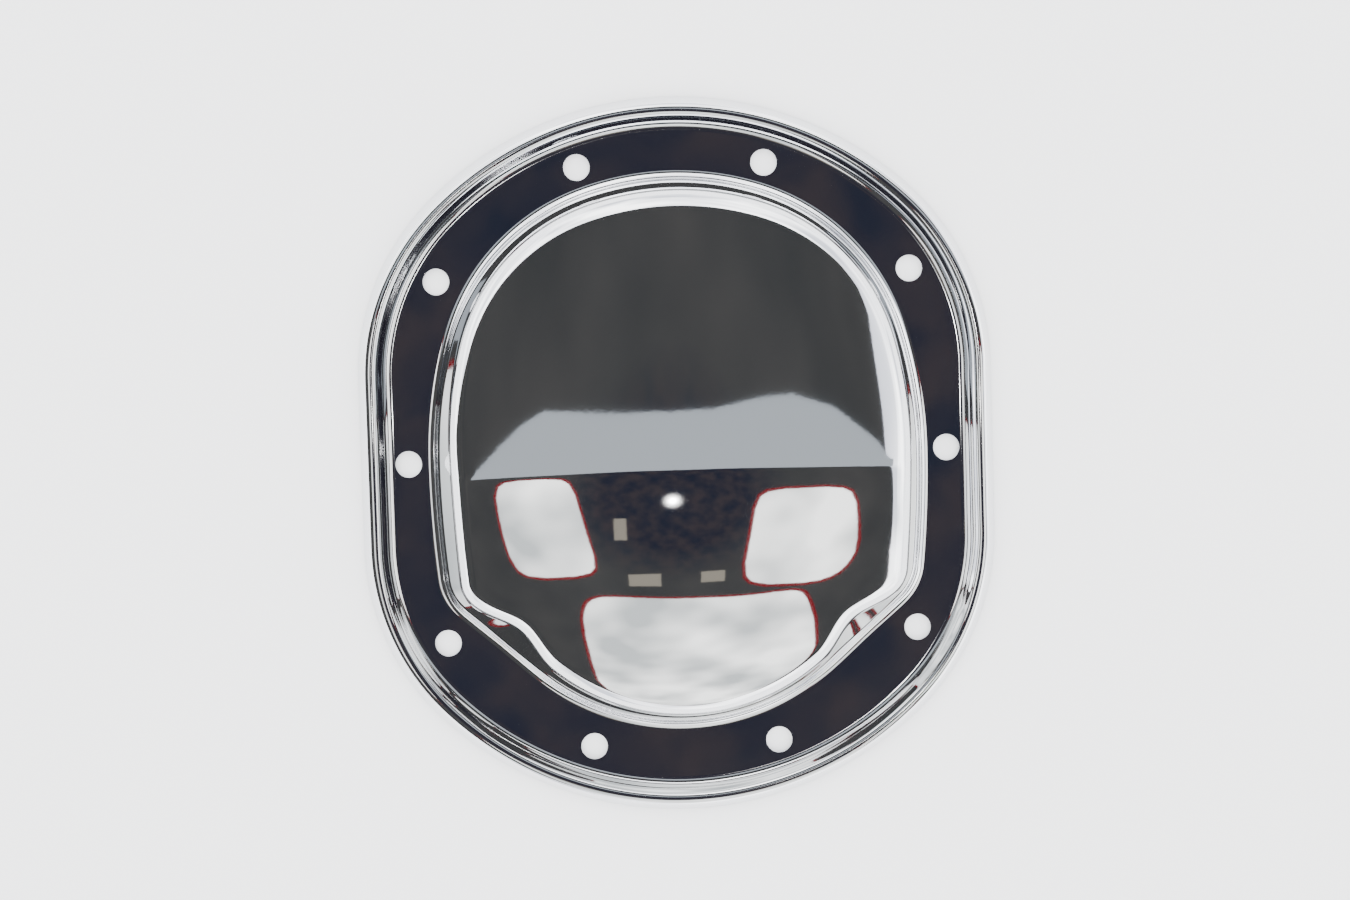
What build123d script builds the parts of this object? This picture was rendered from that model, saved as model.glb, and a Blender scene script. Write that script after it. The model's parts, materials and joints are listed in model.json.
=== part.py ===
from build123d import *
from math import asin, cos, degrees, radians, sin, sqrt, tan
import os

# A pressed sheet-steel cover for the back of an axle's differential housing.
# Frame: XY is the plane of the gasket face, +Y the top of the fitted cover and
# +Z the way the dome bulges. The origin is the centre of the bolt pattern.
# Millimetres and degrees throughout.

# Sheet
sheet = 2.0

# Outer outline of the flange, with its rolled rim
cover_half_width = 116.0
cover_half_height = 131.0
outline_end_radius = 127.3
outline_corner_radius = 90.0

# Rolled rim that stands up round the flange
rim_height = 4.8
rim_root_radius = 5.0
rim_crest_radius = 3.0
rim_rise_angle = 52.0
rim_fall_angle = 66.0
rim_edge_lift = 0.3

# Bolt holes: half distances of the four-hole rows and of the side pair
hole_radius = 4.75
outer_row_x = 34.1
outer_row_y = 106.1
inner_row_x = 86.4
inner_row_y = 66.1
side_hole_x = 98.6

# Foot of the dome, where its wall would meet the top of the flange
dome_top = 101.5
dome_bottom = 98.5
dome_half_width = 89.0
dome_top_radius = 102.0
dome_shoulder_radius = 78.0
dome_upper_side_radius = 158.0
dome_lower_side_radius = 400.0
dome_jaw_radius = 19.5
dome_diagonal_radius = 1000.0
dome_diagonal_angle = 229.7
dome_bottom_radius = 82.0
wall_draft = 15.0
scoop_depth = 6.0
foot_radius = 3.5

# Crown of the dome: a sideways curve carried along a lengthways one
crown_height = 46.0
crown_peak_y = -18.0
crown_side_radius = 220.0
nose_radius = 150.0
nose_upper_tilt = 5.5
crease_radius = 40.0
slope_lower_tilt = 10.5
slope_radius = 1000.0
shoulder_radius = 10.5

# Reach of the form under the crown, which is wider and longer than the dome
form_half_width = 95.0
form_depth = 70.0
form_bottom_tilt = -40.0
form_top_tilt = 18.0


def unit(angle):
    """Direction in the XY plane at an angle from +X."""
    return Vector(cos(radians(angle)), sin(radians(angle)))


def angle_to(start, end):
    """Angle of the way from one point to another, from -180 to 180 degrees."""
    way = end - start
    turn = degrees(asin(way.Y / way.length))
    if way.X < 0:
        turn = (180 if way.Y > 0 else -180) - turn
    return turn


def corner_centre(a, b, radius, side):
    """Centre of an arc that runs from circle a into circle b, inside both."""
    centre_a, radius_a = a
    centre_b, radius_b = b
    reach_a = radius_a - radius
    reach_b = radius_b - radius
    way = centre_b - centre_a
    along = (reach_a ** 2 - reach_b ** 2 + way.length ** 2) / (2 * way.length)
    across = sqrt(reach_a ** 2 - along ** 2)
    forward = way.normalized()
    return centre_a + forward * along + Vector(-forward.Y, forward.X) * across * side


def dome_circles():
    """Circles whose arcs bound the right half of the dome's foot, bottom to top."""
    top = (Vector(0, dome_top - dome_top_radius), dome_top_radius)
    upper_side = (Vector(dome_half_width - dome_upper_side_radius, 0), dome_upper_side_radius)
    lower_side = (Vector(dome_half_width - dome_lower_side_radius, 0), dome_lower_side_radius)
    bottom = (Vector(0, dome_bottom_radius - dome_bottom), dome_bottom_radius)
    lean = unit(180 - dome_diagonal_angle)
    diagonal = (bottom[0] - lean * (dome_diagonal_radius - dome_bottom_radius), dome_diagonal_radius)
    shoulder = (corner_centre(top, upper_side, dome_shoulder_radius, -1), dome_shoulder_radius)
    jaw = (corner_centre(lower_side, diagonal, dome_jaw_radius, -1), dome_jaw_radius)
    return [bottom, diagonal, jaw, lower_side, upper_side, shoulder, top]


def joining_angle(a, b):
    """Angle at which two arcs that touch from inside share their normal."""
    wide, narrow = (a, b) if a[1] > b[1] else (b, a)
    return angle_to(wide[0], narrow[0])


def dipped(arc, depth):
    """Curve with an arc's ends and end directions that dips inwards at its middle."""
    across = Vector((arc % 0.5).Y, -(arc % 0.5).X)
    return Spline(arc @ 0, (arc @ 0.5) - across * depth, arc @ 1, tangents=[arc % 0, arc % 1])


def dome_outline(height, skin):
    """Face inside the dome's walls at a height, a skin's thickness in from their outside."""
    climb = height - sheet
    lean = radians(wall_draft)
    inset = climb * tan(lean) + skin / cos(lean)
    dip = scoop_depth * climb / crown_height
    circles = dome_circles()
    turns = [-90.0]
    for a, b in zip(circles, circles[1:]):
        turns.append(joining_angle(a, b))
    turns.append(90.0)
    half = []
    for (centre, radius), start, end in zip(circles, turns, turns[1:]):
        arc = CenterArc(centre, radius - inset, start, end - start)
        half.append(dipped(arc, dip) if radius == dome_diagonal_radius else arc)
    return Pos(0, 0, height) * make_face(half + [mirror(arc, Plane.YZ) for arc in half])


def crown_band(axis_y, axis_z, radius, low_tilt, high_tilt):
    """Solid under one stretch of the crown: the sideways curve turned about an axis along X."""
    inside = max(radius - form_depth, 0)
    edge = radius - crown_side_radius + sqrt(crown_side_radius ** 2 - form_half_width ** 2)
    left = (-form_half_width, edge)
    right = (form_half_width, edge)
    lines = ThreePointArc(left, (0, radius), right)
    lines += Polyline(right, (form_half_width, inside), (-form_half_width, inside), left)
    start = Plane(origin=(0, axis_y, axis_z), x_dir=(1, 0, 0),
                  z_dir=(0, -cos(radians(low_tilt)), sin(radians(low_tilt))))
    section = start * make_face(lines.edges())
    return revolve(section, Axis((0, axis_y, axis_z), (-1, 0, 0)), high_tilt - low_tilt)


def crown_form(drop):
    """Everything under the crown, which is lowered at right angles to itself by a distance."""
    nose_z = crown_height - nose_radius
    lean = radians(nose_upper_tilt)
    crease_y = crown_peak_y + (nose_radius - crease_radius) * sin(lean)
    crease_z = nose_z + (nose_radius - crease_radius) * cos(lean)
    tilt = radians(slope_lower_tilt)
    slope_y = crease_y - (slope_radius - crease_radius) * sin(tilt)
    slope_z = crease_z - (slope_radius - crease_radius) * cos(tilt)
    nose = crown_band(crown_peak_y, nose_z, nose_radius - drop, form_bottom_tilt, nose_upper_tilt)
    crease = crown_band(crease_y, crease_z, crease_radius - drop, nose_upper_tilt, slope_lower_tilt)
    slope = crown_band(slope_y, slope_z, slope_radius - drop, slope_lower_tilt, form_top_tilt)
    return nose + crease + slope


def flange_outline(inset):
    """Face inside the cover's outer edge, drawn in from it by a distance."""
    end = outline_end_radius - inset
    shift = cover_half_height - outline_end_radius
    tall = cover_half_height - inset
    face = Pos(0, shift) * Circle(end) + Pos(0, -shift) * Circle(end)
    face = face & Rectangle(2 * (cover_half_width - inset), 2 * tall)
    return fillet(face.vertices(), outline_corner_radius - inset)


def rim_line(depth):
    """Line of the rim in (across, up), a distance below its outer surface, and its width."""
    rise = radians(rim_rise_angle)
    fall = radians(rim_fall_angle)
    both = rim_root_radius + rim_crest_radius
    ramp = (rim_height - both * (1 - cos(rise))) / sin(rise)
    root = Vector(0, sheet + rim_root_radius)
    crest = Vector(both * sin(rise) + ramp * cos(rise), sheet + rim_height - rim_crest_radius)
    root_arc = CenterArc(root, rim_root_radius + depth, -90, rim_rise_angle)
    crest_arc = CenterArc(crest, rim_crest_radius - depth, 90 + rim_rise_angle,
                          -rim_rise_angle - rim_fall_angle)
    end = crest_arc @ 1
    drop = (end.Y - rim_edge_lift) / sin(fall)
    tip = end + Vector(cos(fall), -sin(fall)) * drop
    return Line(root_arc @ 1, crest_arc @ 0), root_arc, crest_arc, Line(end, tip), tip


def rim_section():
    """Cross-section of the rolled rim, whose inner end stands at zero."""
    upper = rim_line(0)
    lower = rim_line(sheet)
    lines = Curve() + list(upper[:4]) + list(lower[:4])
    lines += Line(upper[1] @ 0, lower[1] @ 0)
    lines += Line(upper[4], lower[4])
    return make_face(lines.edges())


def rim_width():
    """Distance from the edge of the flat flange to the cover's outer edge."""
    return rim_line(0)[4].X


def rim():
    """Rolled rim, carried round the edge of the flat flange."""
    path = flange_outline(rim_width()).wire()
    start = path @ 0
    along = path % 0
    outward = Vector(along.Y, -along.X, 0)
    if outward.dot(start) < 0:
        outward = -outward
    place = Plane(origin=start, x_dir=outward, z_dir=outward.cross(Vector(0, 0, 1)))
    return sweep(place * rim_section(), path)


def crown_edges(dome):
    """Edges where the walls of a dome meet its crown."""
    crown = dome.faces().filter_by(lambda face: face.normal_at().Z > cos(radians(45)))
    wall = dome.faces().filter_by(lambda face: abs(face.normal_at().Z) < cos(radians(45)))
    rest = wall.edges()
    return crown.edges().filter_by(lambda edge: edge in rest)


def dome_form(foot, skin):
    """Solid dome from the height of its foot up, a skin's thickness in from the outside."""
    sections = [dome_outline(foot, skin), dome_outline(sheet + crown_height, skin)]
    dome = loft(sections, ruled=True) & crown_form(skin)
    return fillet(crown_edges(dome), shoulder_radius - skin)


def level_face(body, height):
    """Flat face of a body that lies at a height."""
    return body.faces().filter_by(Plane.XY).filter_by_position(Axis.Z, height, height)[0]


def holes():
    """Ten bolt holes in five rows, each row with one hole on each side."""
    rows = [(outer_row_x, outer_row_y), (inner_row_x, inner_row_y), (side_hole_x, 0),
            (inner_row_x, -inner_row_y), (outer_row_x, -outer_row_y)]
    drill = Cylinder(hole_radius, 4 * sheet)
    return [Pos(side * x, y, 0) * drill for x, y in rows for side in (-1, 1)]


def cover():
    """Whole cover: flat flange with a pressed dome, a rolled rim and bolt holes."""
    flange = extrude(flange_outline(rim_width()), sheet)
    outside = flange + dome_form(sheet, 0)
    foot = level_face(outside, sheet).inner_wires()[0].edges()
    outside = fillet(foot, foot_radius)
    shell = outside - dome_form(0, sheet)
    mouth = level_face(shell, 0).inner_wires()[0].edges()
    shell = fillet(mouth, foot_radius + sheet)
    return shell + rim() - holes()


os.makedirs("parts", exist_ok=True)
export_step(cover(), "parts/cover.step")
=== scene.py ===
import bmesh
import bpy
import json
from math import acos, atan, atan2, cos, degrees, pi, radians, sin, sqrt, tan
from mathutils import Matrix, Vector
from mathutils.geometry import delaunay_2d_cdt


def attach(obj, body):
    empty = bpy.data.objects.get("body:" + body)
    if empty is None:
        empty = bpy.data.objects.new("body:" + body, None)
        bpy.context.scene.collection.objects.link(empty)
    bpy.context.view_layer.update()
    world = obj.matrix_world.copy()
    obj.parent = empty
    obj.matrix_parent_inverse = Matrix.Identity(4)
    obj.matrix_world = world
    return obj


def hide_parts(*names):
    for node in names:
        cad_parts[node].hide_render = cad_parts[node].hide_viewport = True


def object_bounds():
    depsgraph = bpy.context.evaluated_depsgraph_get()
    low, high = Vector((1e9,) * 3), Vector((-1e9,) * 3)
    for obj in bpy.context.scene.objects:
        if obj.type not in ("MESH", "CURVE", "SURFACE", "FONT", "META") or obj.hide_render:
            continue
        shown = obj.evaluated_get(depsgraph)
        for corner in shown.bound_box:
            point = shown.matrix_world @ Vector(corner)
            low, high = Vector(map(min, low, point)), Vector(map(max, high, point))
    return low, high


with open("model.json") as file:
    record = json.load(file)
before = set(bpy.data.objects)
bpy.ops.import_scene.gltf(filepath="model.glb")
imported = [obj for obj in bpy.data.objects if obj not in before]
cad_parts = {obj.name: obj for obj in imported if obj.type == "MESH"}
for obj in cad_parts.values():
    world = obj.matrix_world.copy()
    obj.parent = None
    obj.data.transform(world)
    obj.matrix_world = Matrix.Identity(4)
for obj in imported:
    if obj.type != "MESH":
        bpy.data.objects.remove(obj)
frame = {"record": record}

cad_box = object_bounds()
MM = 0.001

# The cover's driving sizes, in millimetres and degrees, as in the solid that this mesh stands for
SHEET = 2.0
COVER_HALF_WIDTH = (cad_box[1][0] - cad_box[0][0]) / 2 / MM
COVER_HALF_HEIGHT = (cad_box[1][1] - cad_box[0][1]) / 2 / MM
OUTLINE_END_RADIUS = 127.3
OUTLINE_CORNER_RADIUS = 90.0
RIM_HEIGHT = 4.8
RIM_ROOT_RADIUS = 5.0
RIM_CREST_RADIUS = 3.0
RIM_RISE = 52.0
RIM_FALL = 66.0
RIM_EDGE_LIFT = 0.3
DOME_TOP = 101.5
DOME_BOTTOM = 98.5
DOME_HALF_WIDTH = 89.0
DOME_TOP_RADIUS = 102.0
DOME_SHOULDER_RADIUS = 78.0
DOME_UPPER_SIDE_RADIUS = 158.0
DOME_LOWER_SIDE_RADIUS = 400.0
DOME_JAW_RADIUS = 19.5
DOME_DIAGONAL_RADIUS = 1000.0
DOME_DIAGONAL_ANGLE = 229.7
DOME_BOTTOM_RADIUS = 82.0
WALL_DRAFT = 15.0
SCOOP_DEPTH = 6.0
FOOT_RADIUS = 3.5
CROWN_HEIGHT = 46.0
CROWN_PEAK_Y = -18.0
CROWN_SIDE_RADIUS = 220.0
NOSE_RADIUS = 150.0
NOSE_UPPER_TILT = 5.5
CREASE_RADIUS = 40.0
SLOPE_LOWER_TILT = 10.5
SLOPE_RADIUS = 1000.0
SHOULDER_RADIUS = 10.5
HOLE_ROUNDING = 0.12

# Fineness of the mesh: points round the cover and its holes, and steps along each stretch
# of a profile. The dome's steps are those of its foot, of its shoulder and across its crown.
COLUMNS = 480
INNER_COLUMNS = 384
HOLE_SIDES = 40
HOLE_EDGE_STEPS = 3
RIM_STEPS = 10
INNER_RIM_STEPS = 5
DOME_STEPS = (10, 16, 55)
INNER_DOME_STEPS = (8, 10, 26)
SHARP_ANGLE = 40.0

# Search for the place where the shoulder's fillet meets the crown
FIRST_CLIMB = 30.0
PROBE = 0.05
ROUNDS = 12

# Camera, in metres and degrees. It looks down on the cover, which lies on its gasket face
PHOTO_WIDTH = 1350
METRES_PER_PIXEL = 0.000367
CAMERA_DISTANCE = 1.0
CAMERA_ABOVE = 3.5
CAMERA_LEFT = 2.5
COVER_TURN = 1.7
AIM = Vector((-0.0012, 0.0020, 0.0))
SENSOR = 36.0

# Waves of the polished surface, as (how many a metre, height in metres)
CHROME_WAVES = ((22.0, 0.0002), (650.0, 0.0000012))

# Studio: heights in metres, corners of cards as angles in degrees off the upright
FLOOR_SIZE = 6.0
FLOOR_GAP = 0.0002
SURROUND = 6.0
CARD_HEIGHT = 1.25
PANEL_HEIGHT = 1.2
LAYER_GAP = 0.01
TRIM = 0.9
ROUND_CUTS = 2
LONGEST_CUT = 3.0
DARK_CARD = [(-84, -66), (57, -66), (48, -25), (47, 40), (-60, 40), (-84, 60)]
PANEL_LEFT = [(-38.1, 7), (-35, -26.5), (-16.3, -23), (-21.9, 7)]
PANEL_RIGHT = [(18.1, 1), (15, -26.8), (35.3, -30.5), (40, -24), (39, 1)]
PANEL_LOW = [(-19, -29.8), (-22.5, -36.5), (-25, -65), (15, -70), (42, -60), (32, -36), (29, -31)]
BAND = [(-43.5, 10.5), (48, 10.5), (49, 19), (46, 20.6), (37, 22.6), (28, 22.8), (9, 20.7),
        (0, 20.4), (-15, 21.0), (-28, 22.0), (-38, 20.4), (-43, 18.9)]
WINDOWS = [((-11.5, -9.7), (1.3, 3.2)), ((-6.8, -24.7), (3.4, 1.8)), ((8.5, -24), (2.8, 1.6))]
FLASH = (0.0, -1.6)
FLASH_REACH = 3.6
FLASH_STRENGTH = 60.0
CORE_REACH = 26.0


def unit(angle):
    """Direction in the flange's plane, for an angle in degrees."""
    return Vector((cos(radians(angle)), sin(radians(angle))))


def angle_of(way):
    """Angle of a direction in the flange's plane, in degrees."""
    return degrees(atan2(way.y, way.x))


def inner_centre(a, b, radius):
    """Centre of an arc that runs from circle a into circle b, inside both, on its right."""
    reach_a = a[1] - radius
    reach_b = b[1] - radius
    way = b[0] - a[0]
    along = (reach_a ** 2 - reach_b ** 2 + way.length ** 2) / (2 * way.length)
    across = sqrt(reach_a ** 2 - along ** 2)
    forward = way.normalized()
    return a[0] + forward * along + Vector((forward.y, -forward.x)) * across


def joined(circles):
    """Arcs (centre, radius, start, end) along a run of circles, from straight down to straight up."""
    turns = [-90.0]
    for a, b in zip(circles, circles[1:]):
        wide, narrow = (a, b) if a[1] > b[1] else (b, a)
        turns.append(angle_of(narrow[0] - wide[0]))
    turns.append(90.0)
    return [(c, r, s, e) for (c, r), s, e in zip(circles, turns, turns[1:])]


def dome_arcs():
    """Right half of the outline where the dome's wall would meet the flange."""
    top = (Vector((0, DOME_TOP - DOME_TOP_RADIUS)), DOME_TOP_RADIUS)
    upper_side = (Vector((DOME_HALF_WIDTH - DOME_UPPER_SIDE_RADIUS, 0)), DOME_UPPER_SIDE_RADIUS)
    lower_side = (Vector((DOME_HALF_WIDTH - DOME_LOWER_SIDE_RADIUS, 0)), DOME_LOWER_SIDE_RADIUS)
    bottom = (Vector((0, DOME_BOTTOM_RADIUS - DOME_BOTTOM)), DOME_BOTTOM_RADIUS)
    lean = unit(180 - DOME_DIAGONAL_ANGLE)
    diagonal = (bottom[0] - lean * (DOME_DIAGONAL_RADIUS - DOME_BOTTOM_RADIUS), DOME_DIAGONAL_RADIUS)
    shoulder = (inner_centre(top, upper_side, DOME_SHOULDER_RADIUS), DOME_SHOULDER_RADIUS)
    jaw = (inner_centre(lower_side, diagonal, DOME_JAW_RADIUS), DOME_JAW_RADIUS)
    return joined([bottom, diagonal, jaw, lower_side, upper_side, shoulder, top])


def stations(arcs, count):
    """Points round an outline, from its right half, as (point, outward normal, share of the scoop)."""
    half = []
    total = sum(r * radians(e - s) for c, r, s, e in arcs)
    for centre, radius, start, end in arcs:
        steps = max(2, round(count / 2 * radius * radians(end - start) / total))
        for step in range(steps):
            t = step / steps
            normal = unit(start + (end - start) * t)
            near = 1 - abs(2 * t - 1)
            share = 3 * near ** 2 - 2 * near ** 3 if radius == DOME_DIAGONAL_RADIUS else 0.0
            half.append((centre + normal * radius, normal, share))
    last = arcs[-1]
    half.append((last[0] + unit(last[3]) * last[1], unit(last[3]), 0.0))
    flip = [(Vector((-p.x, p.y)), Vector((-n.x, n.y)), s) for p, n, s in half[-2:0:-1]]
    return half + flip


def flange_stations(count):
    """Points round the cover's outer edge, as stations gives them."""
    shift = COVER_HALF_HEIGHT - OUTLINE_END_RADIUS
    corner_x = COVER_HALF_WIDTH - OUTLINE_CORNER_RADIUS
    reach = OUTLINE_END_RADIUS - OUTLINE_CORNER_RADIUS
    corner_y = shift + sqrt(reach ** 2 - corner_x ** 2)
    turn = degrees(acos(corner_x / reach))
    quarter = count // 4
    side = corner_y / (corner_y + radians(turn) * OUTLINE_CORNER_RADIUS
                       + radians(90 - turn) * OUTLINE_END_RADIUS)
    side_steps = max(2, round(quarter * side))
    end_steps = round((quarter - side_steps) / 2)
    corner_steps = quarter - side_steps - end_steps
    run = []
    for step in range(side_steps):
        run.append((Vector((COVER_HALF_WIDTH, corner_y * step / side_steps)), unit(0)))
    for step in range(corner_steps):
        normal = unit(turn * step / corner_steps)
        run.append((Vector((corner_x, corner_y)) + normal * OUTLINE_CORNER_RADIUS, normal))
    for step in range(end_steps + 1):
        normal = unit(turn + (90 - turn) * step / end_steps)
        run.append((Vector((0, shift)) + normal * OUTLINE_END_RADIUS, normal))
    upper = run + [(Vector((-p.x, p.y)), Vector((-n.x, n.y))) for p, n in run[-2::-1]]
    lower = [(-p, -n) for p, n in upper[1:-1]]
    return [(p, n, 0.0) for p, n in upper + lower]


def crown(x, y, drop):
    """Height of the dome's crown over a point, lowered by a drop at right angles to it."""
    fall = CROWN_SIDE_RADIUS - sqrt(CROWN_SIDE_RADIUS ** 2 - x ** 2)
    nose_z = CROWN_HEIGHT - NOSE_RADIUS
    lean = radians(NOSE_UPPER_TILT)
    tilt = radians(SLOPE_LOWER_TILT)
    crease_y = CROWN_PEAK_Y + (NOSE_RADIUS - CREASE_RADIUS) * sin(lean)
    crease_z = nose_z + (NOSE_RADIUS - CREASE_RADIUS) * cos(lean)
    slope_y = crease_y - (SLOPE_RADIUS - CREASE_RADIUS) * sin(tilt)
    slope_z = crease_z - (SLOPE_RADIUS - CREASE_RADIUS) * cos(tilt)
    reach = NOSE_RADIUS - drop - fall
    if y < CROWN_PEAK_Y + reach * sin(lean):
        return nose_z + sqrt(reach ** 2 - (y - CROWN_PEAK_Y) ** 2)
    reach = CREASE_RADIUS - drop - fall
    if y < crease_y + reach * sin(tilt):
        return crease_z + sqrt(reach ** 2 - (y - crease_y) ** 2)
    reach = SLOPE_RADIUS - drop - fall
    return slope_z + sqrt(reach ** 2 - (y - slope_y) ** 2)


def arc_run(centre, radius, start, end, steps):
    """Points of an arc in a profile, from one angle off the upright to another."""
    points = []
    for step in range(steps + 1):
        lean = start + (end - start) * step / steps
        points.append((centre[0] + radius * sin(lean), centre[1] + radius * cos(lean)))
    return points


def dome_profile(station, skin, foot_z, foot_radius, foot_steps, shoulder_steps):
    """Profile over one station as (inward, up), from the flange to the crown's edge."""
    point, normal, share = station
    slope = tan(radians(WALL_DRAFT)) + SCOOP_DEPTH * share / CROWN_HEIGHT
    begin = skin / cos(radians(WALL_DRAFT)) - (SHEET - foot_z) * slope
    steep = atan(1 / slope)
    toe = foot_radius * tan(steep / 2)
    line = arc_run((begin - toe, foot_z + foot_radius), foot_radius, pi, pi - steep, foot_steps)
    radius = SHOULDER_RADIUS - skin

    def crown_at(inward):
        place = point - normal * inward
        return crown(place.x, place.y, skin)

    reach = begin + FIRST_CLIMB * slope + radius / 2
    for _ in range(ROUNDS):
        height = crown_at(reach)
        lean = atan((crown_at(reach + PROBE) - crown_at(reach - PROBE)) / (2 * PROBE))
        meet = (height - reach * tan(lean) - foot_z + begin / slope) / (1 / slope - tan(lean))
        length = radius * tan((steep - lean) / 2)
        reach = meet + length * cos(lean)
    top = crown_at(reach)
    centre = (reach + radius * sin(lean), top - radius * cos(lean))
    line += arc_run(centre, radius, -steep, -lean, shoulder_steps)
    return line, reach


def rim_profile(depth, steps):
    """Profile of the rolled rim as (across, up) from the flange's edge, a depth below its face."""
    rise = radians(RIM_RISE)
    fall = radians(RIM_FALL)
    both = RIM_ROOT_RADIUS + RIM_CREST_RADIUS
    ramp = (RIM_HEIGHT - both * (1 - cos(rise))) / sin(rise)
    root = (0.0, SHEET + RIM_ROOT_RADIUS)
    crest = (both * sin(rise) + ramp * cos(rise), SHEET + RIM_HEIGHT - RIM_CREST_RADIUS)
    line = arc_run(root, RIM_ROOT_RADIUS + depth, pi, pi - rise, steps)
    line += arc_run(crest, RIM_CREST_RADIUS - depth, -rise, fall, 2 * steps)
    last = line[-1]
    drop = last[1] - RIM_EDGE_LIFT
    line.append((last[0] + drop / tan(fall) / 2, last[1] - drop / 2))
    line.append((last[0] + drop / tan(fall), RIM_EDGE_LIFT))
    return line


class Skin:
    """Vertices and faces of the mesh as it grows, and which vertices face straight up or down."""

    def __init__(self):
        self.points = []
        self.faces = []
        self.level = {}

    def ring(self, points):
        """Add points and give their numbers."""
        first = len(self.points)
        self.points += [tuple(p) for p in points]
        return list(range(first, first + len(points)))

    def keep_level(self, ring, side):
        """Let a ring face straight up (1) or down (-1) in the shading."""
        for k in ring:
            self.level[k] = side

    def bridge(self, a, b):
        """Join two rings by a band of faces."""
        for k in range(len(a)):
            j = (k + 1) % len(a)
            self.faces.append((a[k], a[j], b[j], b[k]))

    def tube(self, rings):
        """Join each ring to the next."""
        for a, b in zip(rings, rings[1:]):
            self.bridge(a, b)

    def close(self, ring, point):
        """Close a ring by a fan of faces to a point."""
        tip = self.ring([point])[0]
        for k in range(len(ring)):
            self.faces.append((ring[k], ring[(k + 1) % len(ring)], tip))


def rim_rings(skin, places, profile, width):
    """Rings of the rim for a profile that runs outwards from the flange's edge."""
    rings = []
    for across, up in profile:
        ring = []
        for point, normal, _ in places:
            place = point - normal * (width - across)
            ring.append((place.x, place.y, up))
        rings.append(skin.ring(ring))
    return rings


def dome_rings(skin, places, thickness, foot_z, foot_radius, fineness):
    """Rings from the flange over the wall and crown to the middle of the dome."""
    foot_steps, shoulder_steps, crown_steps = fineness
    profiles = [dome_profile(s, thickness, foot_z, foot_radius, foot_steps, shoulder_steps)
                for s in places]
    rings = []
    for level in range(len(profiles[0][0])):
        ring = []
        for (line, _), (point, normal, _) in zip(profiles, places):
            inward, up = line[level]
            place = point - normal * inward
            ring.append((place.x, place.y, up))
        rings.append(skin.ring(ring))
    middle = Vector((0, CROWN_PEAK_Y / 2))
    for step in range(1, crown_steps):
        ring = []
        for (_, reach), (point, normal, _) in zip(profiles, places):
            edge = point - normal * reach
            place = edge.lerp(middle, step / crown_steps)
            ring.append((place.x, place.y, crown(place.x, place.y, thickness)))
        rings.append(skin.ring(ring))
    return rings, (middle.x, middle.y, crown(middle.x, middle.y, thickness))


def bolt_holes():
    """Centres and radius of the bolt holes, from the record's bolt patterns."""
    holes = []
    radius = 0
    for mount in frame["record"]["mounts"]:
        if mount["kind"] != "bolt_pattern":
            continue
        dims = mount["dims"]
        radius = dims["hole_r_mm"]
        x = dims.get("spacing_x_mm", 0) / 2
        y = dims.get("spacing_y_mm", 0) / 2
        spots = {(sx * x, sy * y) for sx in (-1, 1) for sy in (-1, 1)}
        holes += [Vector(spot) for spot in sorted(spots)]
    return holes, radius


def hole_rings(skin, centre, radius, top):
    """Rings of one bolt hole, from the top face down, with slightly rounded edges."""
    rings = []
    for z, side in ((top, 1), (0.0, -1)):
        bend = []
        for step in range(HOLE_EDGE_STEPS + 1):
            lean = radians(90 * step / HOLE_EDGE_STEPS)
            bend.append((radius + HOLE_ROUNDING * (1 - sin(lean)),
                         z - side * HOLE_ROUNDING * (1 - cos(lean))))
        rings += bend if side == 1 else bend[::-1]
    loops = []
    for r, z in rings:
        places = [centre + unit(360 * k / HOLE_SIDES) * r for k in range(HOLE_SIDES)]
        loops.append(skin.ring([(place.x, place.y, z) for place in places]))
    return loops


def flat_fill(skin, outer, inner, holes):
    """Flat face of the flange between its rings."""
    loops = [outer, inner] + holes
    side = 1 if skin.points[outer[0]][2] > 0 else -1
    points = []
    edges = []
    names = []
    for loop in loops:
        skin.keep_level(loop, side)
        first = len(points)
        points += [Vector(skin.points[k][:2]) for k in loop]
        names += loop
        edges += [(first + k, first + (k + 1) % len(loop)) for k in range(len(loop))]
    found = delaunay_2d_cdt(points, edges, [], 0, 1e-6)
    gaps = [set(loop) for loop in loops[1:]]
    for face in found[2]:
        corners = [names[found[3][k][0]] for k in face]
        if not any(gap.issuperset(corners) for gap in gaps):
            skin.faces.append(tuple(corners))


def make_cover():
    """Cover as one fine mesh."""
    skin = Skin()
    outline = flange_stations(COLUMNS)
    dome = stations(dome_arcs(), COLUMNS)
    dome_inside = stations(dome_arcs(), INNER_COLUMNS)
    width = rim_profile(0, 1)[-1][0]
    centres, radius = bolt_holes()
    top_rim = rim_rings(skin, outline, rim_profile(0, RIM_STEPS), width)
    low_rim = rim_rings(skin, outline, rim_profile(SHEET, INNER_RIM_STEPS), width)
    skin.tube(top_rim + low_rim[::-1])
    top_dome, top_tip = dome_rings(skin, dome, 0, SHEET, FOOT_RADIUS, DOME_STEPS)
    low_dome, low_tip = dome_rings(skin, dome_inside, SHEET, 0, FOOT_RADIUS + SHEET, INNER_DOME_STEPS)
    skin.tube(top_dome)
    skin.close(top_dome[-1], top_tip)
    skin.tube(low_dome)
    skin.close(low_dome[-1], low_tip)
    holes = [hole_rings(skin, centre, radius, SHEET) for centre in centres]
    for loops in holes:
        skin.tube(loops)
    flat_fill(skin, top_rim[0], top_dome[0], [loops[0] for loops in holes])
    flat_fill(skin, low_rim[0], low_dome[0], [loops[-1] for loops in holes])
    mesh = bpy.data.meshes.new("pressed_cover")
    mesh.from_pydata([(x * MM, y * MM, z * MM) for x, y, z in skin.points], [], skin.faces)
    return mesh, skin.level


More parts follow.
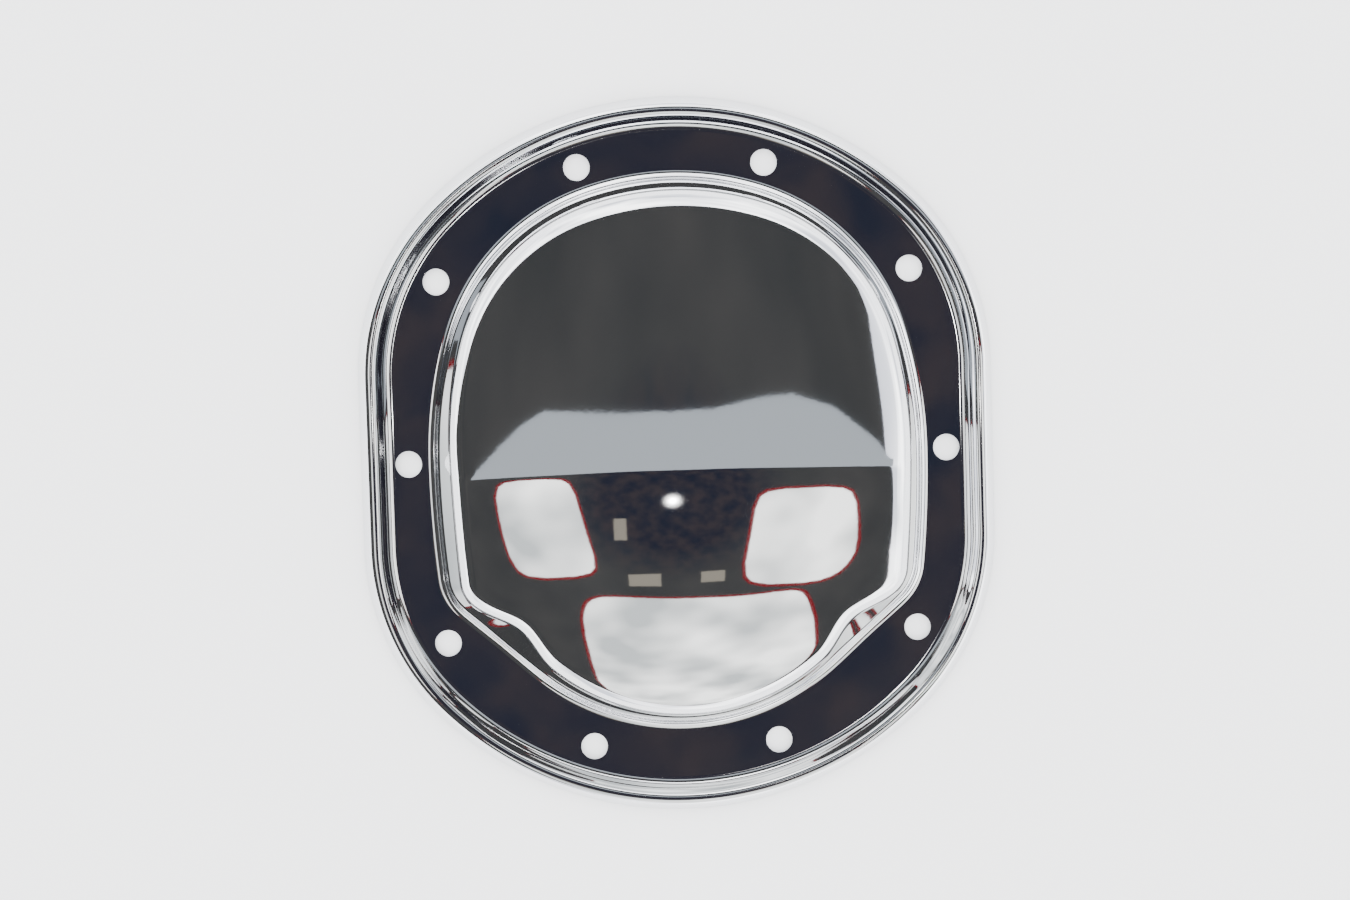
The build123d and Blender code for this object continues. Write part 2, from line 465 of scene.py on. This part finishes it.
def settle(mesh, level):
    """Turn all faces outwards, shade them smooth and keep the flange's shading level."""
    work = bmesh.new()
    work.from_mesh(mesh)
    bmesh.ops.recalc_face_normals(work, faces=work.faces)
    open_edges = [e for e in work.edges if not e.is_manifold]
    print("cover mesh: faces", len(work.faces), "open edges", len(open_edges))
    work.to_mesh(mesh)
    work.free()
    mesh.polygons.foreach_set("use_smooth", [True] * len(mesh.polygons))
    mesh.set_sharp_from_angle(angle=radians(SHARP_ANGLE))
    normals = [Vector(corner.vector) for corner in mesh.corner_normals]
    for loop in mesh.loops:
        if loop.vertex_index in level:
            normals[loop.index] = Vector((0, 0, level[loop.vertex_index]))
    mesh.normals_split_custom_set(normals)


def make_camera():
    """Camera of the photograph."""
    data = bpy.data.cameras.new("camera")
    camera = bpy.data.objects.new("camera", data)
    bpy.context.collection.objects.link(camera)
    back = Vector((-tan(radians(CAMERA_LEFT)), tan(radians(CAMERA_ABOVE)), 1.0)).normalized()
    up = Vector((0.0, 1.0, 0.0))
    right = up.cross(back).normalized()
    up = back.cross(right)
    turn = Matrix.Rotation(radians(-COVER_TURN), 3, back)
    right = turn @ right
    up = turn @ up
    axes = Matrix((right, up, back)).transposed()
    camera.matrix_world = Matrix.Translation(AIM + back * CAMERA_DISTANCE) @ axes.to_4x4()
    data.sensor_width = SENSOR
    data.lens = SENSOR * CAMERA_DISTANCE / (PHOTO_WIDTH * METRES_PER_PIXEL)
    data.clip_start = 0.01
    data.clip_end = 100.0
    bpy.context.scene.camera = camera


def principled(name):
    """Material with its own Principled shader."""
    material = bpy.data.materials.new(name)
    material.use_nodes = True
    return material, material.node_tree, material.node_tree.nodes["Principled BSDF"]


def chrome():
    """Bright chrome plate over polished steel."""
    material, tree, shader = principled("chrome_plate")
    shader.inputs["Metallic"].default_value = 1.0
    shader.inputs["Base Color"].default_value = (0.80, 0.81, 0.83, 1.0)
    shader.inputs["Roughness"].default_value = 0.035
    place = tree.nodes.new("ShaderNodeTexCoord")
    total = tree.nodes.new("ShaderNodeMath")
    total.operation = "ADD"
    for slot, (scale, height) in enumerate(CHROME_WAVES):
        noise = tree.nodes.new("ShaderNodeTexNoise")
        noise.inputs["Scale"].default_value = scale
        noise.inputs["Detail"].default_value = 1.0
        tree.links.new(place.outputs["Object"], noise.inputs["Vector"])
        size = tree.nodes.new("ShaderNodeMath")
        size.operation = "MULTIPLY"
        size.inputs[1].default_value = height
        tree.links.new(noise.outputs["Fac"], size.inputs[0])
        tree.links.new(size.outputs[0], total.inputs[slot])
    bump = tree.nodes.new("ShaderNodeBump")
    bump.inputs["Strength"].default_value = 1.0
    bump.inputs["Distance"].default_value = 1.0
    tree.links.new(total.outputs[0], bump.inputs["Height"])
    tree.links.new(bump.outputs["Normal"], shader.inputs["Normal"])
    return material


def floor_material():
    """Plain pale studio floor."""
    material, _, shader = principled("pale_floor")
    shader.inputs["Base Color"].default_value = (0.9, 0.9, 0.9, 1.0)
    shader.inputs["Roughness"].default_value = 0.9
    return material


def make_floor():
    """Plain floor under the cover."""
    half = FLOOR_SIZE / 2
    mesh = bpy.data.meshes.new("floor")
    corners = [(-half, -half, 0), (half, -half, 0), (half, half, 0), (-half, half, 0)]
    mesh.from_pydata(corners, [], [(0, 1, 2, 3)])
    floor = bpy.data.objects.new("floor", mesh)
    floor.location.z = cad_box[0][2] - FLOOR_GAP
    bpy.context.collection.objects.link(floor)
    mesh.materials.append(floor_material())


def glowing(name, colour):
    """Evenly glowing material of a card."""
    material = bpy.data.materials.new(name)
    material.use_nodes = True
    tree = material.node_tree
    tree.nodes.clear()
    glow = tree.nodes.new("ShaderNodeEmission")
    glow.inputs["Color"].default_value = (*colour, 1.0)
    glow.inputs["Strength"].default_value = 1.0
    out = tree.nodes.new("ShaderNodeOutputMaterial")
    tree.links.new(glow.outputs[0], out.inputs[0])
    return material


def soft_noise(tree, vector, scale, dull, bright):
    """Colour output that varies softly between two colours."""
    noise = tree.nodes.new("ShaderNodeTexNoise")
    noise.inputs["Scale"].default_value = scale
    noise.inputs["Detail"].default_value = 2.0
    ramp = tree.nodes.new("ShaderNodeValToRGB")
    ramp.color_ramp.elements[0].position = 0.35
    ramp.color_ramp.elements[0].color = (*dull, 1.0)
    ramp.color_ramp.elements[1].position = 0.65
    ramp.color_ramp.elements[1].color = (*bright, 1.0)
    tree.links.new(vector, noise.inputs["Vector"])
    tree.links.new(noise.outputs["Fac"], ramp.inputs["Fac"])
    return ramp.outputs["Color"]


def blotched(name, scale, dull, bright):
    """Glowing material that varies softly between two colours."""
    material = glowing(name, dull)
    tree = material.node_tree
    place = tree.nodes.new("ShaderNodeTexCoord")
    colour = soft_noise(tree, place.outputs["Object"], scale, dull, bright)
    tree.links.new(colour, tree.nodes["Emission"].inputs["Color"])
    return material


def scaled_place(tree, reach):
    """Place on a piece, counted in reaches from its middle."""
    place = tree.nodes.new("ShaderNodeTexCoord")
    size = tree.nodes.new("ShaderNodeVectorMath")
    size.operation = "SCALE"
    size.inputs["Scale"].default_value = 1 / reach
    tree.links.new(place.outputs["Object"], size.inputs[0])
    return size.outputs["Vector"]


def darkness():
    """Dim overhead card, darker and tinted straight above the cover."""
    material = glowing("dark_card", (0.07, 0.07, 0.07))
    tree = material.node_tree
    place = tree.nodes.new("ShaderNodeTexCoord")
    edge = soft_noise(tree, place.outputs["Object"], 1.6, (0.062, 0.064, 0.066), (0.088, 0.086, 0.085))
    core = soft_noise(tree, place.outputs["Object"], 13.0, (0.022, 0.026, 0.046), (0.054, 0.045, 0.054))
    spot = scaled_place(tree, CARD_HEIGHT * tan(radians(CORE_REACH)))
    near = tree.nodes.new("ShaderNodeTexGradient")
    near.gradient_type = "SPHERICAL"
    share = tree.nodes.new("ShaderNodeMapRange")
    share.inputs["From Max"].default_value = 0.45
    mix = tree.nodes.new("ShaderNodeMix")
    mix.data_type = "RGBA"
    colour_a, colour_b, mixed = mix.inputs[6], mix.inputs[7], mix.outputs[2]
    tree.links.new(spot, near.inputs["Vector"])
    tree.links.new(near.outputs["Fac"], share.inputs["Value"])
    tree.links.new(share.outputs["Result"], mix.inputs["Factor"])
    tree.links.new(edge, colour_a)
    tree.links.new(core, colour_b)
    tree.links.new(mixed, tree.nodes["Emission"].inputs["Color"])
    return material


def fading(name, reach, strength):
    """Glow that fades from the middle of its piece to nothing at a reach."""
    material = glowing(name, (1, 0.98, 0.95))
    tree = material.node_tree
    glow = tree.nodes["Emission"]
    fade = tree.nodes.new("ShaderNodeTexGradient")
    fade.gradient_type = "QUADRATIC_SPHERE"
    power = tree.nodes.new("ShaderNodeMath")
    power.operation = "POWER"
    power.inputs[1].default_value = 3.0
    times = tree.nodes.new("ShaderNodeMath")
    times.operation = "MULTIPLY"
    times.inputs[1].default_value = strength
    clear = tree.nodes.new("ShaderNodeBsdfTransparent")
    both = tree.nodes.new("ShaderNodeAddShader")
    tree.links.new(scaled_place(tree, reach), fade.inputs["Vector"])
    tree.links.new(fade.outputs["Fac"], power.inputs[0])
    tree.links.new(power.outputs[0], times.inputs[0])
    tree.links.new(times.outputs[0], glow.inputs["Strength"])
    tree.links.new(glow.outputs[0], both.inputs[0])
    tree.links.new(clear.outputs[0], both.inputs[1])
    tree.links.new(both.outputs[0], tree.nodes["Material Output"].inputs["Surface"])
    return material


def widened(corners, margin):
    """Corners of a card pushed away from its middle."""
    middle = sum((Vector(c) for c in corners), Vector((0, 0))) / len(corners)
    return [Vector(c) + (Vector(c) - middle).normalized() * margin for c in corners]


def rounded(corners):
    """Corners of a card cut back again and again, which rounds them."""
    corners = [Vector(corner) for corner in corners]
    for _ in range(ROUND_CUTS):
        cut = []
        for a, b in zip(corners, corners[1:] + corners[:1]):
            step = min(0.25, LONGEST_CUT / (b - a).length)
            cut += [a.lerp(b, step), b.lerp(a, step)]
        corners = cut
    return corners


def card(name, corners, height, material):
    """Level card seen only in reflections; its corners are angles in degrees off the upright."""
    mesh = bpy.data.meshes.new(name)
    points = [(height * tan(radians(x)), height * tan(radians(y)), 0) for x, y in corners]
    mesh.from_pydata(points, [], [tuple(reversed(range(len(points))))])
    mesh.materials.append(material)
    piece = bpy.data.objects.new(name, mesh)
    piece.location.z = height
    bpy.context.collection.objects.link(piece)
    piece.visible_camera = False
    piece.visible_diffuse = False
    piece.visible_shadow = False
    piece.visible_transmission = False
    return piece


def oblong(left, right, low, high):
    """Corners of an upright oblong."""
    return [(left, low), (right, low), (right, high), (left, high)]


def make_world():
    """Pale surroundings that vary softly in brightness."""
    world = bpy.data.worlds.new("studio")
    world.use_nodes = True
    room = world.node_tree
    place = room.nodes.new("ShaderNodeTexCoord")
    colour = soft_noise(room, place.outputs["Generated"], 2.2, (0.30, 0.31, 0.34), (1, 1, 1))
    room.links.new(colour, room.nodes["Background"].inputs["Color"])
    room.nodes["Background"].inputs["Strength"].default_value = SURROUND
    bpy.context.scene.world = world


def make_panels():
    """Bright panels with thin trims, a grey band above them and small windows between them."""
    white = blotched("white_panel", 1.7, (1.1, 1.16, 1.16), (3.2, 3.2, 3.1))
    red = glowing("red_trim", (0.30, 0.012, 0.02))
    grey = glowing("grey_panel", (0.62, 0.67, 0.72))
    beige = glowing("window", (0.42, 0.38, 0.31))
    card("band", BAND, PANEL_HEIGHT, grey)
    for name, corners in (("left", PANEL_LEFT), ("right", PANEL_RIGHT), ("low", PANEL_LOW)):
        outline = rounded(corners)
        card("panel_" + name, outline, PANEL_HEIGHT, white)
        card("trim_" + name, widened(outline, TRIM), PANEL_HEIGHT + LAYER_GAP, red)
    for number, ((x, y), (half_x, half_y)) in enumerate(WINDOWS, 1):
        corners = oblong(x - half_x, x + half_x, y - half_y, y + half_y)
        card("window_%d" % number, corners, PANEL_HEIGHT, beige)


def make_flash():
    """Small bright light close to the camera's own reflection."""
    reach = PANEL_HEIGHT * tan(radians(FLASH_REACH))
    corners = oblong(-FLASH_REACH, FLASH_REACH, -FLASH_REACH, FLASH_REACH)
    flash = card("flash", corners, PANEL_HEIGHT, fading("flash", reach, FLASH_STRENGTH))
    across, along = (PANEL_HEIGHT * tan(radians(angle)) for angle in FLASH)
    flash.location = (across, along, PANEL_HEIGHT - LAYER_GAP)


make_camera()
make_floor()
make_world()
card("dark_overhead", DARK_CARD, CARD_HEIGHT, darkness())
make_panels()
make_flash()

mesh, level = make_cover()
settle(mesh, level)
mesh.materials.append(chrome())
cover = bpy.data.objects.new("pressed_cover", mesh)
bpy.context.collection.objects.link(cover)
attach(cover, "root")
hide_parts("cover")
